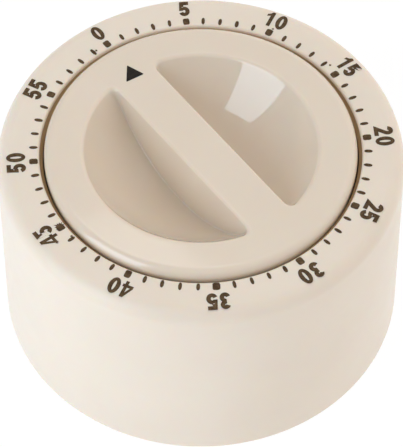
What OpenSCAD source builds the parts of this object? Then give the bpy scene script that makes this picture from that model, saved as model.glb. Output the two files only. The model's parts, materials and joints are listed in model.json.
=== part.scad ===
// Round mechanical kitchen timer, wound by a dial knob, with a bell inside.
// Millimetres. +Z is up, the origin is on the table under the middle, the dial's zero is at +Y.

/* [Casing] */
// Diameter of the casing at the dial, before its edge is rounded
top_d = 64.2; // [64:0.1:80]
// Draft of the casing's side, in degrees, so it is widest at the bottom
draft = 0.63; // [0:0.01:1.5]
// Height of the dial face above the casing's bottom edge
casing_h = 36.4; // [36:0.1:45]
// Thickness of the casing's walls
wall = 1.8; // [1.2:0.1:2.2]
// Radius of the casing's outer top edge
casing_edge_r = 2.4; // [1:0.1:3]
// Width of the dial face, from the casing's side to the knob's well
dial_w = 6.7; // [6:0.1:8]

/* [Knob] */
// Gap between the knob and the dial face
knob_gap = 0.7; // [0.4:0.05:1]
// Height of the knob's top above the dial face
knob_proud = 0.85; // [0.5:0.05:2]
// Radius of the knob's outer top edge
knob_edge_r = 1.4; // [0.5:0.1:1.7]
// Width of the flat rim around the finger recesses
rim_w = 6.1; // [4:0.1:8]
// Depth of the finger recesses
recess_depth = 10.3; // [9:0.1:13]
// Width of the grip bar between the recesses, where its sides meet its top
bar_w = 7.5; // [6:0.1:9]
// Radius of the grip bar's upper edges
bar_edge_r = 0.7; // [0.3:0.05:1]
// Draft of the grip bar's sides, in degrees
bar_draft = 4.5; // [1:0.1:8]
// Thickness of the knob's walls
knob_wall = 1.6; // [1.2:0.1:1.8]
// Angle that the knob turns, from its zero stop to its full stop
knob_travel = 352.5; // [300:2.5:352.5]
// Angle by which the pointer rests past the zero mark
past_zero = 1.8; // [0:0.1:3]

/* [Base] */
// Height of the feet below the casing
foot_h = 0.6; // [0.4:0.1:1.5]
// Radius of a foot
foot_r = 4.2; // [3:0.1:5]
// Thickness of the base cover
cover_t = 1.6; // [1.4:0.1:2]
// Radius of a cover screw's shank
cover_screw_r = 1.2; // [1:0.05:1.4]

/* [Movement] */
// Radius of the main arbor
arbor_r = 1.8; // [1.5:0.05:2.2]
// Thickness of each plate
plate_t = 0.8; // [0.6:0.05:1]
// Radius of both plates
plate_r = 24.4; // [24.2:0.1:24.6]
// Module of the main wheel and the second pinion
main_module = 0.35; // [0.33:0.005:0.355]
// Module of the rest of the train
train_module = 0.3; // [0.28:0.005:0.305]
// Teeth of the main wheel
main_teeth = 72; // [72]
// Teeth of the second and third wheels
train_teeth = 54; // [54]
// Leaves of each pinion
leaves = 9; // [9]
// Teeth of the escape wheel
escape_teeth = 12; // [12]
// Radius of the shafts between the plates
shaft_r = 0.75; // [0.6:0.05:0.9]
// Radius of the pivots that turn in the plates
pivot_r = 0.4; // [0.3:0.05:0.5]
// Thickness of the train's wheels
wheel_t = 0.6; // [0.5:0.02:0.74]

/* [Bell] */
// Radius of the bell
bell_r = 20; // [16:0.1:20.2]
// Height of the bell
bell_h = 6; // [4:0.1:6.8]
// Thickness of the bell's wall
bell_t = 0.8; // [0.5:0.05:1]

/* [Hidden] */
$fn = 96;

// Clearances
run_gap = 0.05;      // round a shaft that turns in a hole
seat_gap = 0.02;     // round a piece that is pressed or screwed into a hole
part_gap = 0.3;      // between pieces that pass each other
cut = 0.1;           // how far a cut runs past the face it opens

// Colours
cream = [0.88, 0.82, 0.74];
steel = [0.72, 0.73, 0.75];
brass = [0.80, 0.66, 0.36];
rubber = [0.16, 0.15, 0.14];
sheet_steel = [0.62, 0.64, 0.66];
bell_steel = [0.78, 0.79, 0.80];

// Casing and knob: radii and levels
top_r = top_d / 2;
base_r = top_r + casing_h * tan(draft);
well_r = top_r - dial_w;
cover_lip = 1.0;                              // casing wall left outside the cover
cover_gap = 0.15;
cover_r = base_r - cover_lip - cover_gap;
z_base = foot_h;
z_dial = z_base + casing_h;
z_knob_top = z_dial + knob_proud;
knob_r = well_r - knob_gap;
recess_r = knob_r - rim_w;
recess_ball_r = (recess_r * recess_r + recess_depth * recess_depth) / (2 * recess_depth);
z_ball = z_knob_top - recess_depth + recess_ball_r;
z_recess_under = z_knob_top - recess_depth - knob_wall;
z_skirt = z_recess_under - 0.75;              // bottom edge of the knob's skirt
deck_t = 1.6;                                 // floor of the knob's well
z_deck_top = z_skirt - 0.5;
z_deck = z_deck_top - deck_t;
hub_r = arbor_r + 1.8;
lip_r = 0.45;                                 // inner edge of the dial face
step_depth = 1;                               // below the dial, the well narrows to the skirt
skirt_gap = 0.2;

// Stops: a finger inside the knob's skirt meets a block on the floor of the well
stop_angle = 270;
stop_w = 1.2;
stop_depth = 1.4;
stop_r = knob_r - knob_wall;
stop_h = 2.4;
finger_angle = stop_angle - (360 - knob_travel) / 2;

// Cover screws and feet
boss_r = 2.8;
boss_at = base_r - wall - boss_r + 1.1;
boss_angles = [60, 180, 300];
cover_head_r = 2.1;
cover_head_t = 0.8;
cover_screw_len = 9;
foot_at = 22;
foot_angles = [0, 120, 240];
foot_seat = 0.6;

// Movement: levels, counted down from the deck
cam_room = 2.4;
z_front_top = z_deck - cam_room;
z_front = z_front_top - plate_t;
main_t = 0.8;
ratchet_t = 0.7;
z_main = z_front - main_t - ratchet_t - 0.5;
z_second = z_main - wheel_t - 0.7;
z_third = z_second - wheel_t - part_gap;
z_strike = z_third - wheel_t - 0.6;
z_balance = z_third - wheel_t - 0.5;
z_escape = z_third - wheel_t - 1.6;
z_pallet = z_escape - wheel_t - 0.4;
z_back_top = z_pallet - 0.6;
z_back = z_back_top - plate_t;
plate_gap = z_front - z_back_top;
z_spring = z_back_top + 0.6;
spring_h = z_third - 0.4 - z_spring;
z_cam = z_front_top + 0.35;
cam_t = 0.8;
end_shake = 0.15;

// Gears
pressure = 25;                                // pressure angle
tip_height = 0.8;                             // addendum, in modules
root_depth = 1.0;                             // dedendum, in modules
thin_by = 0.05;                               // each flank is set back by this many modules
function pitch_r(teeth, m) = teeth * m / 2;
function centres(teeth, m) = pitch_r(teeth + leaves, m);

// Places in plan. The train runs round the left of the main arbor.
function polar(r, a) = [r * cos(a), r * sin(a)];
function bearing(p, q) = atan2(q[1] - p[1], q[0] - p[0]);
function corner(b, c, a) = acos((b * b + c * c - a * a) / (2 * b * c));
second_r = centres(main_teeth, main_module);
third_r = second_r + 1.325;
escape_r = third_r + 1;
train_step = centres(train_teeth, train_module);
second_angle = 160;
third_angle = second_angle + corner(second_r, third_r, train_step);
escape_angle = third_angle + corner(third_r, escape_r, train_step);
axis_main = [0, 0];
axis_second = polar(second_r, second_angle);
axis_third = polar(third_r, third_angle);
axis_escape = polar(escape_r, escape_angle);
escape_tip_r = 4.6;
pin_r = 0.2;
pin_angle = 1.25 * 360 / escape_teeth;        // the pins stand two and a half teeth apart
pallet_step = 7;                              // escape wheel's axis to the pallet arbor
pallet_r = escape_r + 1;
pallet_angle = escape_angle + corner(escape_r, pallet_r, pallet_step);
axis_pallet = polar(pallet_r, pallet_angle);
axis_hammer = polar(17.6, 115);
hammer_at = polar(17.6, 75);
axis_lever = [11.1, -1.1];
lever_pin_at = [2, 14.6];
train_axes = [axis_second, axis_third, axis_escape, axis_pallet, axis_hammer];

// Phases that put the train in mesh
main_phase = 0;
function meshed(from_phase, from_teeth, to_teeth, a) =
    a + 180 - 360 / to_teeth * (0.5 - (a - from_phase) * from_teeth / 360);
second_phase = meshed(main_phase, main_teeth, leaves, bearing(axis_main, axis_second));
third_phase = meshed(0, train_teeth, leaves, bearing(axis_second, axis_third));
escape_phase = meshed(0, train_teeth, leaves, bearing(axis_third, axis_escape));

// Pillars and movement screws
pillar_r = 1.5;
pillar_places = [polar(22, 30), polar(22, 110), polar(22.5, 222), polar(22, 285)];
pillar_screw_r = 0.8;
pillar_screw_len = 3;
small_head_t = 0.8;
hang_places = [polar(21, 85), polar(21, 205), polar(21, 325)];
hang_boss_r = 2.2;
hang_screw_r = 1;
hang_screw_len = 3.2;

// Main arbor, spring, ratchet and cam
arbor_flat = arbor_r - 0.6;                   // flat of the D-shaped stem, from the axis
z_stem_top = z_knob_top - 4.2;
arbor_foot_r = 1;
clip_t = 0.3;                                 // spring clip between the stem's flat and the hub
clip_w = 1.6;
clip_h = 5;
z_clip = z_skirt + 3;
bush_r = 3;
spring_in_r = arbor_r + 1;
spring_pitch = 0.8;
spring_t = 0.3;
spring_turns = 8;
spring_out_r = spring_in_r + spring_pitch * spring_turns;
spring_post_at = polar(spring_out_r + 1.1, 0);
ratchet_r = 3.6;
ratchet_teeth = 12;
z_ratchet = z_main + main_t + 0.05;
click_r = 8.2;
click_at = polar(click_r, 100);
click_nose = polar(ratchet_r + 0.75, 50);
click_spring_at = polar(click_r, 20);
rivet_r = 0.6;
cam_r = 7;
nose_angle = 40;
notch_half = 15;
notch_depth = 1.5;
stud_r = 1;
stud_foot_r = 0.8;
lever_spring_at = [6, 16];

// Hammer and bell
z_hammer = z_strike;
hammer_t = 0.8;
z_bell = z_back - 0.8 - bell_h;
bell_corner_r = 3;
head_r = 0.9;
head_h = 1.8;
z_head = z_bell + bell_h - head_h + 0.2;
star_r = 3;
post_r = 2.2;
post_foot_r = 0.8;
bell_post_at = [0, -7];
bell_screw_r = 1;

// A round bar, or a washer where it has a bore
module ring(outer, h, bore = 0) {
    difference() {
        cylinder(r = outer, h = h);
        if (bore > 0) translate([0, 0, -cut]) cylinder(r = bore, h = h + 2 * cut);
    }
}

// Flat bar with round ends from p to q
module link(p, q, w) {
    translate(p) rotate(bearing(p, q)) translate([0, -w / 2]) square([norm(q - p), w]);
    translate(p) circle(d = w);
    translate(q) circle(d = w);
}

module at(p, z = 0) {
    translate([p[0], p[1], z]) children();
}

// Screw standing head down: its head's underside is at z = 0 and its shank goes up
module screw(r, len, head_r, head_t) {
    difference() {
        translate([0, 0, -head_t]) cylinder(r = head_r, h = head_t);
        translate([-head_r, -0.2, -head_t - cut]) cube([2 * head_r, 0.4, head_t / 2 + cut]);
    }
    cylinder(r = r, h = len);
}

// Involute gears. Half of a tooth's angle at radius r falls as the involute leaves the base circle.
function involute(a) = tan(a) * 180 / PI - a;
function half_tooth(r, teeth, m) =
    let (base = pitch_r(teeth, m) * cos(pressure))
    90 / teeth - thin_by * m / pitch_r(teeth, m) * 180 / PI + involute(pressure)
        - (r > base ? involute(acos(base / r)) : 0);
function gear_radii(teeth, m) =
    let (p = pitch_r(teeth, m), root = p - root_depth * m, tip = p + tip_height * m)
    [root, max(root + 0.01, p * cos(pressure) + 0.01), p, (p + tip) / 2, tip];
function gear_points(teeth, m) =
    let (radii = gear_radii(teeth, m), last = len(radii) - 1)
    [for (i = [0 : teeth - 1])
        let (mid = i * 360 / teeth)
        each concat(
            [for (k = [0 : last]) polar(radii[k], mid - half_tooth(radii[k], teeth, m))],
            [for (k = [last : -1 : 0]) polar(radii[k], mid + half_tooth(radii[k], teeth, m))]
        )
    ];

// Wheel on a shaft, with round windows between its rim and its hub
module wheel(teeth, m, t, bore, windows) {
    rim = pitch_r(teeth, m) - 2.2 * m - 0.8;
    hub = bore + 1.4;
    linear_extrude(t) difference() {
        polygon(gear_points(teeth, m));
        circle(r = bore);
        for (i = [0 : windows - 1])
            translate(polar((rim + hub) / 2, i * 360 / windows + 30)) circle(d = rim - hub);
    }
}

// Shaft that runs between the plates on two pivots
module shaft(r) {
    translate([0, 0, z_back]) cylinder(r = pivot_r, h = z_front_top - z_back);
    translate([0, 0, z_back_top + end_shake]) cylinder(r = r, h = plate_gap - 2 * end_shake);
}

// Shaft with pinion leaves from z_low to z_high
module pinion(m, phase, z_low, z_high) {
    shaft(shaft_r);
    translate([0, 0, z_low]) rotate(phase)
        linear_extrude(z_high - z_low) polygon(gear_points(leaves, m));
}

// Star or ratchet wheel: its points lean by the given part of a tooth
module star(teeth, tip, root, lean) {
    polygon([for (i = [0 : teeth - 1]) each [
        polar(root, (i - 0.5) * 360 / teeth),
        polar(tip, (i + lean) * 360 / teeth),
        polar(tip, (i + lean) * 360 / teeth + 1.5)
    ]]);
}

// Casing: one moulding, open below, with the well for the knob
module casing() {
    h = casing_h;
    r = casing_edge_r;
    color(cream) difference() {
        union() {
            translate([0, 0, z_base]) rotate_extrude() polygon(concat(
                [[base_r, 0]],
                [for (a = [0 : 15 : 90]) [top_r - r + r * cos(a), h - r + r * sin(a)]],
                [for (a = [90 : 30 : 180]) [well_r + lip_r + lip_r * cos(a), h - lip_r + lip_r * sin(a)]],
                [
                    [well_r, h - step_depth],
                    [knob_r + skirt_gap, h - step_depth],
                    [knob_r + skirt_gap, z_deck_top - z_base],
                    [arbor_r + 0.6, z_deck_top - z_base],
                    [arbor_r + 0.6, z_deck - z_base],
                    [well_r + wall, z_deck - z_base],
                    [well_r + wall, h - wall],
                    [top_r - wall - 1, h - wall],
                    [top_r - wall, h - wall - 1],
                    [base_r - wall, cover_t],
                    [base_r - cover_lip, cover_t],
                    [base_r - cover_lip, 0]
                ]
            ));
            for (a = boss_angles)
                at(polar(boss_at, a), z_base + cover_t)
                    cylinder(r = boss_r, h = z_deck_top - z_base - cover_t);
            for (p = hang_places)
                at(p, z_front_top) cylinder(r = hang_boss_r, h = z_deck - z_front_top + deck_t / 2);
            rotate(stop_angle) translate([stop_r - part_gap - stop_depth, -stop_w / 2, z_deck])
                cube([stop_depth, stop_w, deck_t + stop_h]);
        }
        for (a = boss_angles)
            at(polar(boss_at, a), z_base + cover_t - cut)
                cylinder(r = cover_screw_r + seat_gap, h = cover_screw_len);
        for (p = hang_places)
            at(p, z_front_top - cut) cylinder(r = hang_screw_r + seat_gap, h = hang_screw_len);
    }
}

// Base cover: seats in the casing's rebate, with slots that let the bell be heard
module base_cover() {
    slots = 12;
    slot_in = 7;
    slot_out = 15;
    slot_w = 1.6;
    color(cream) difference() {
        translate([0, 0, z_base]) cylinder(r = cover_r, h = cover_t);
        for (i = [0 : slots - 1])
            rotate(i * 360 / slots) translate([slot_in, -slot_w / 2, z_base - cut])
                cube([slot_out - slot_in, slot_w, cover_t + 2 * cut]);
        for (a = boss_angles) at(polar(boss_at, a), z_base - cut) {
            cylinder(r = cover_screw_r + 0.2, h = cover_t + 2 * cut);
            cylinder(r = cover_head_r + 0.2, h = cover_head_t + 2 * cut);
        }
        for (a = foot_angles)
            at(polar(foot_at, a), z_base - cut) cylinder(r = foot_r + seat_gap, h = foot_seat + cut);
    }
}

module cover_screws() {
    color(steel) for (a = boss_angles)
        at(polar(boss_at, a), z_base + cover_head_t + cut)
            screw(cover_screw_r, cover_screw_len - 1.2, cover_head_r, cover_head_t);
}

module rubber_feet() {
    color(rubber) for (a = foot_angles)
        at(polar(foot_at, a)) cylinder(r = foot_r, h = foot_h + foot_seat);
}

// Stem's D-shaped section, and the bore it fits
module stem_section(gap = 0) {
    difference() {
        circle(r = arbor_r + gap);
        translate([arbor_flat + gap, -2 * arbor_r]) square([2 * arbor_r, 4 * arbor_r]);
    }
}

// Cross-section of the grip bar: sloping sides and rounded upper edges, with its top at y = 0
module bar_section(depth) {
    foot = bar_w / 2 + depth * tan(bar_draft);
    flat = bar_w / 2 - bar_edge_r;
    polygon(concat(
        [[-foot, -depth], [foot, -depth]],
        [for (a = [bar_draft : (90 - bar_draft) / 5 : 90.01])
            [flat + bar_edge_r * cos(a), bar_edge_r * (sin(a) - 1)]],
        [[flat, recess_ball_r], [-flat, recess_ball_r]],
        [for (a = [bar_draft : (90 - bar_draft) / 5 : 90.01])
            let (b = 90 + bar_draft - a)
            [-flat - bar_edge_r * cos(b), bar_edge_r * (sin(b) - 1)]]
    ));
}

// Knob: a shell with two recesses, the hollow bar between them, and a hub for the stem
module knob() {
    top = z_knob_top;
    r = knob_edge_r;
    color(cream) rotate(past_zero) difference() {
        union() {
            difference() {
                rotate_extrude() polygon(concat(
                    [[0, z_skirt], [knob_r, z_skirt]],
                    [for (a = [0 : 15 : 90]) [knob_r - r + r * cos(a), top - r + r * sin(a)]],
                    [[0, top]]
                ));
                difference() {
                    translate([0, 0, z_skirt - cut])
                        cylinder(r = knob_r - knob_wall, h = top - knob_wall - z_skirt + cut);
                    translate([0, 0, z_ball]) sphere(r = recess_ball_r + knob_wall);
                }
                translate([-bar_w / 2 + knob_wall, -recess_r + knob_wall, z_skirt - cut])
                    cube([bar_w - 2 * knob_wall, 2 * (recess_r - knob_wall), top - knob_wall - z_skirt + cut]);
            }
            translate([0, 0, z_skirt]) cylinder(r = hub_r, h = top - knob_wall / 2 - z_skirt);
            rotate(finger_angle - past_zero)
                translate([stop_r - stop_depth, -stop_w / 2, z_skirt])
                    cube([stop_depth + knob_wall / 2, stop_w, stop_h + 1]);
        }
        difference() {
            translate([0, 0, z_ball]) sphere(r = recess_ball_r);
            translate([0, knob_r, top]) rotate([90, 0, 0])
                linear_extrude(2 * knob_r) bar_section(top - z_skirt);
        }
        translate([0, 0, z_skirt - cut]) linear_extrude(z_stem_top + 0.3 - z_skirt + cut)
            stem_section(seat_gap);
        translate([arbor_flat - cut, -clip_w / 2 - seat_gap, z_skirt - cut])
            cube([clip_t + seat_gap + cut, clip_w + 2 * seat_gap, z_clip + clip_h - z_skirt + cut]);
    }
}

module knob_clip() {
    color(steel) rotate(past_zero)
        translate([arbor_flat, -clip_w / 2, z_clip]) cube([clip_t, clip_w, clip_h]);
}

// Plates of the movement
module plate(z) {
    translate([0, 0, z]) cylinder(r = plate_r, h = plate_t);
}

module plate_hole(p, z, r) {
    at(p, z - cut) cylinder(r = r, h = plate_t + 2 * cut);
}

module front_plate() {
    slot = [3.6, 3.2];
    color(sheet_steel) difference() {
        plate(z_front);
        for (p = train_axes) plate_hole(p, z_front, pivot_r + run_gap);
        for (p = pillar_places) plate_hole(p, z_front, pillar_screw_r + seat_gap);
        for (p = hang_places) plate_hole(p, z_front, hang_screw_r + 0.15);
        plate_hole(axis_main, z_front, bush_r + seat_gap);
        plate_hole(axis_lever, z_front, stud_foot_r + seat_gap);
        plate_hole(lever_spring_at, z_front, 0.6 + seat_gap);
        translate([lever_pin_at[0] - slot[0] + 0.9, lever_pin_at[1] - slot[1] + 0.9, z_front - cut])
            cube([slot[0], slot[1], plate_t + 2 * cut]);
    }
}

module back_plate() {
    slot = [3.4, 3.4];
    color(sheet_steel) difference() {
        plate(z_back);
        for (p = train_axes) plate_hole(p, z_back, pivot_r + run_gap);
        for (p = pillar_places) plate_hole(p, z_back, pillar_screw_r + seat_gap);
        plate_hole(axis_main, z_back, arbor_foot_r + run_gap);
        plate_hole(spring_post_at, z_back, post_foot_r + seat_gap);
        plate_hole(bell_post_at, z_back, post_foot_r + seat_gap);
        at(hammer_at, z_back - cut) rotate(75) translate([-slot[0] + 1.3, -slot[1] / 2, 0])
            cube([slot[0], slot[1], plate_t + 2 * cut]);
    }
}

module plate_pillars() {
    color(steel) for (p = pillar_places) at(p, z_back_top)
        ring(pillar_r, plate_gap, pillar_screw_r + seat_gap);
}

module pillar_screws() {
    color(steel) for (p = pillar_places) {
        at(p, z_back) screw(pillar_screw_r, pillar_screw_len, pillar_r, small_head_t);
        at(p, z_front_top) mirror([0, 0, 1])
            screw(pillar_screw_r, pillar_screw_len, pillar_r, small_head_t);
    }
}

module movement_screws() {
    color(steel) for (p = hang_places) at(p, z_front)
        screw(hang_screw_r, plate_t + hang_screw_len - 0.6, 1.8, small_head_t);
}

// Flanged bush pressed into the front plate
module arbor_bush() {
    color(brass) {
        translate([0, 0, z_front]) ring(bush_r, plate_t, arbor_r + run_gap);
        translate([0, 0, z_front - 0.3]) ring(bush_r + 0.6, 0.3, arbor_r + run_gap);
    }
}

// Main arbor: a pivot below, a round length through the wheels, and a D-shaped stem
module main_arbor() {
    color(steel) {
        translate([0, 0, z_back]) cylinder(r = arbor_foot_r, h = plate_t + 1);
        translate([0, 0, z_back_top + end_shake]) cylinder(r = arbor_r, h = z_cam - z_back_top - end_shake);
        translate([0, 0, z_main - 0.7]) cylinder(r = arbor_r + 0.8, h = 0.7);
        rotate(past_zero) translate([0, 0, z_cam - 0.5]) linear_extrude(z_stem_top - z_cam + 0.5)
            stem_section();
    }
}

// Spiral strip, wound outwards from the arbor to the post
function spiral(a, side) =
    polar(spring_in_r + spring_pitch * a / 360 + side * spring_t / 2, a);
module mainspring() {
    last = 360 * spring_turns;
    color(steel) translate([0, 0, z_spring]) linear_extrude(spring_h)
        polygon(concat(
            [for (a = [0 : 15 : last]) spiral(a, 1)],
            [for (a = [last : -15 : 0]) spiral(a, -1)]
        ));
}

module spring_post() {
    r = norm(spring_post_at) - spring_out_r - spring_t / 2 - seat_gap;
    color(steel) at(spring_post_at) {
        translate([0, 0, z_back]) cylinder(r = post_foot_r, h = plate_t + 0.2);
        translate([0, 0, z_back_top]) cylinder(r = r, h = spring_h + 0.8);
    }
}

module main_wheel() {
    color(brass) difference() {
        translate([0, 0, z_main]) rotate(main_phase)
            wheel(main_teeth, main_module, main_t, arbor_r + seat_gap, 5);
        at(click_at, z_main - cut) cylinder(r = rivet_r + seat_gap, h = main_t + 2 * cut);
        at(click_spring_at, z_main - cut) cylinder(r = rivet_r + seat_gap, h = main_t + 2 * cut);
    }
}

module ratchet_wheel() {
    color(steel) translate([0, 0, z_ratchet]) linear_extrude(ratchet_t) difference() {
        star(ratchet_teeth, ratchet_r, ratchet_r - 0.8, 0.4);
        circle(r = arbor_r + seat_gap);
    }
}

// Click: the pawl that lets the arbor be wound past the main wheel
module click() {
    color(steel) translate([0, 0, z_ratchet]) linear_extrude(ratchet_t) difference() {
        union() {
            link(click_at, click_nose, 0.9);
            translate(click_at) circle(r = 1.3);
        }
        translate(click_at) circle(r = rivet_r + run_gap);
    }
}

module click_rivet() {
    color(steel) at(click_at, z_main) {
        cylinder(r = rivet_r, h = main_t + ratchet_t + 0.25);
    }
}

module click_spring() {
    color(steel) {
        at(click_spring_at, z_main) cylinder(r = rivet_r, h = main_t + ratchet_t);
        translate([0, 0, z_ratchet]) linear_extrude(ratchet_t - 0.2)
            link(click_spring_at, polar(ratchet_r + 2.7, 62), 0.25);
    }
}

// Cam disc with the notch that frees the release lever at zero
module cam_disc() {
    notch_mid = nose_angle - (360 - knob_travel) / 2;
    color(brass) translate([0, 0, z_cam]) linear_extrude(cam_t) difference() {
        circle(r = cam_r);
        polygon([
            polar(cam_r - notch_depth, notch_mid - notch_half + 4),
            polar(cam_r + 1, notch_mid - notch_half),
            polar(cam_r + 1, notch_mid + notch_half),
            polar(cam_r - notch_depth, notch_mid + notch_half - 4)
        ]);
        rotate(past_zero) stem_section(seat_gap);
    }
}

// Release lever: its nose rides the cam, and its pin holds the hammer off the star
module release_lever() {
    elbow = polar(cam_r + 3, nose_angle);
    color(steel) {
        translate([0, 0, z_cam]) linear_extrude(cam_t) difference() {
            union() {
                translate(axis_lever) circle(r = stud_r + 1.1);
                link(axis_lever, elbow, 1.8);
                link(elbow, polar(cam_r + 0.8, nose_angle), 1.2);
                link(elbow, lever_pin_at, 1.8);
            }
            translate(axis_lever) circle(r = stud_r + run_gap);
        }
        at(lever_pin_at, z_hammer) cylinder(r = 0.5, h = z_cam - z_hammer + cam_t / 2);
    }
}

module lever_stud() {
    color(steel) at(axis_lever) {
        translate([0, 0, z_front]) cylinder(r = stud_foot_r, h = plate_t);
        translate([0, 0, z_front_top]) cylinder(r = stud_r, h = 1.5);
        translate([0, 0, z_front_top + 1.4]) cylinder(r = stud_r + 0.6, h = 0.5);
    }
}

module lever_spring() {
    color(steel) {
        at(lever_spring_at, z_front) cylinder(r = 0.6, h = plate_t + 1.2);
        translate([0, 0, z_cam]) linear_extrude(0.6) link(lever_spring_at, [4.2, 15.6], 0.3);
    }
}

module second_wheel() {
    color(brass) at(axis_second, z_second)
        wheel(train_teeth, train_module, wheel_t, shaft_r + seat_gap, 4);
}

module second_pinion() {
    color(steel) at(axis_second)
        pinion(main_module, second_phase, z_second + wheel_t, z_front - end_shake - 0.2);
}

module strike_wheel() {
    color(brass) at(axis_second, z_strike) linear_extrude(wheel_t) difference() {
        star(8, star_r, star_r - 1.1, 0.3);
        circle(r = shaft_r + seat_gap);
    }
}

module third_wheel() {
    color(brass) at(axis_third, z_third)
        wheel(train_teeth, train_module, wheel_t, shaft_r + seat_gap, 4);
}

module third_pinion() {
    color(steel) at(axis_third) pinion(train_module, third_phase, z_third + wheel_t, z_second + 0.9);
}

// Escape wheel, turned so that both pallet pins face gaps between its teeth
module escape_wheel() {
    toward = bearing(axis_escape, axis_pallet);
    color(brass) at(axis_escape, z_escape) rotate(toward + 360 / escape_teeth / 2)
        linear_extrude(wheel_t) difference() {
            polygon([for (i = [0 : escape_teeth - 1])
                let (a = i * 360 / escape_teeth)
                each [polar(escape_tip_r - 1.3, a - 9), polar(escape_tip_r, a - 0.8),
                      polar(escape_tip_r, a + 0.8), polar(escape_tip_r - 1.3, a + 9)]
            ]);
            circle(r = shaft_r + seat_gap);
        }
}

module escape_pinion() {
    color(steel) at(axis_escape)
        pinion(train_module, escape_phase, z_third - 0.3, z_third + wheel_t + 0.3);
}

// Where a pallet pin stands, just outside the escape wheel's tips
function pallet_pin(side) =
    axis_escape + polar(escape_tip_r + pin_r + 0.15, bearing(axis_escape, axis_pallet) + side * pin_angle);

module pallet_lever() {
    color(brass) translate([0, 0, z_pallet]) linear_extrude(wheel_t) difference() {
        union() {
            for (side = [-1, 1]) link(axis_pallet, pallet_pin(side), 1.1);
            translate(axis_pallet) circle(r = 1.4);
        }
        translate(axis_pallet) circle(r = shaft_r + seat_gap);
        for (side = [-1, 1]) translate(pallet_pin(side)) circle(r = pin_r + seat_gap);
    }
}

module pallet_pins() {
    color(steel) for (side = [-1, 1])
        at(pallet_pin(side), z_pallet) cylinder(r = pin_r, h = z_escape + wheel_t + 0.2 - z_pallet);
}

module pallet_arbor() {
    color(steel) at(axis_pallet) shaft(shaft_r);
}

// Weighted bar that swings with the pallets and sets the rate
module balance_bar() {
    reach = 4.6;
    color(brass) at(axis_pallet, z_balance) rotate(pallet_angle + 90) linear_extrude(wheel_t)
        difference() {
            union() {
                link([-reach, 0], [reach, 0], 1.2);
                circle(r = 1.4);
                for (side = [-1, 1]) translate([side * reach, 0]) circle(r = 1);
            }
            circle(r = shaft_r + seat_gap);
        }
}

// Hammer: a tail that the star lifts, and an arm that carries the head down to the bell
module hammer_arm() {
    tail = axis_second + (star_r + part_gap + 0.5) * (axis_hammer - axis_second) / norm(axis_hammer - axis_second);
    color(sheet_steel) {
        translate([0, 0, z_hammer]) linear_extrude(hammer_t) difference() {
            union() {
                link(axis_hammer, tail, 1);
                link(axis_hammer, hammer_at, 1.6);
                translate(axis_hammer) circle(r = 1.8);
            }
            translate(axis_hammer) circle(r = shaft_r + seat_gap);
        }
        at(hammer_at, z_head + head_h / 2) cylinder(r = 0.5, h = z_hammer - z_head - head_h / 2 + cut);
    }
}

module hammer_head() {
    color(brass) at(hammer_at, z_head) difference() {
        cylinder(r = head_r, h = head_h);
        translate([0, 0, head_h / 2]) cylinder(r = 0.5 + seat_gap, h = head_h);
    }
}

module hammer_arbor() {
    color(steel) at(axis_hammer) shaft(shaft_r);
}

// Leaf spring that throws the hammer at the bell, on its own post
module hammer_spring() {
    post_at = axis_hammer + [1.4, -3.35];
    tip = axis_hammer + [4.8, -1.25];
    color(steel) {
        at(post_at, z_back_top) cylinder(r = 0.6, h = z_hammer + hammer_t - z_back_top);
        translate([0, 0, z_hammer]) linear_extrude(hammer_t) link(post_at, tip, 0.3);
    }
}

// Bell: a steel cup that opens towards the movement
module bell() {
    r = bell_corner_r;
    color(bell_steel) translate([0, 0, z_bell]) difference() {
        rotate_extrude() polygon(concat(
            [[0, 0]],
            [for (a = [-90 : 15 : 0]) [bell_r - r + r * cos(a), r + r * sin(a)]],
            [[bell_r, bell_h], [bell_r - bell_t, bell_h]],
            [for (a = [0 : -15 : -90]) [bell_r - r + (r - bell_t) * cos(a), r + (r - bell_t) * sin(a)]],
            [[0, bell_t]]
        ));
        at(bell_post_at, -cut) cylinder(r = bell_screw_r + 0.15, h = bell_t + 2 * cut);
    }
}

module bell_post() {
    screw_len = 3.4;
    color(steel) at(bell_post_at) difference() {
        union() {
            translate([0, 0, z_bell + bell_t]) cylinder(r = post_r, h = z_back - z_bell - bell_t);
            translate([0, 0, z_back]) cylinder(r = post_foot_r, h = plate_t);
        }
        translate([0, 0, z_bell]) cylinder(r = bell_screw_r + seat_gap, h = bell_t + screw_len);
    }
}

module bell_screw() {
    color(steel) at(bell_post_at, z_bell) screw(bell_screw_r, 3.6, 1.9, small_head_t);
}

casing();
base_cover();
cover_screws();
rubber_feet();
knob();
knob_clip();
front_plate();
back_plate();
plate_pillars();
pillar_screws();
movement_screws();
arbor_bush();
main_arbor();
mainspring();
spring_post();
ratchet_wheel();
click();
click_rivet();
click_spring();
main_wheel();
cam_disc();
release_lever();
lever_stud();
lever_spring();
second_wheel();
second_pinion();
strike_wheel();
third_wheel();
third_pinion();
escape_wheel();
escape_pinion();
pallet_lever();
pallet_pins();
pallet_arbor();
balance_bar();
hammer_arm();
hammer_head();
hammer_arbor();
hammer_spring();
bell();
bell_post();
bell_screw();
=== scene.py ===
"""The looks of a wind-up kitchen timer: moulded casing and knob, printed dial, metal movement, studio."""
import json
import math
import random

import bmesh
import bpy
import numpy as np
from mathutils import Matrix, Vector


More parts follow.
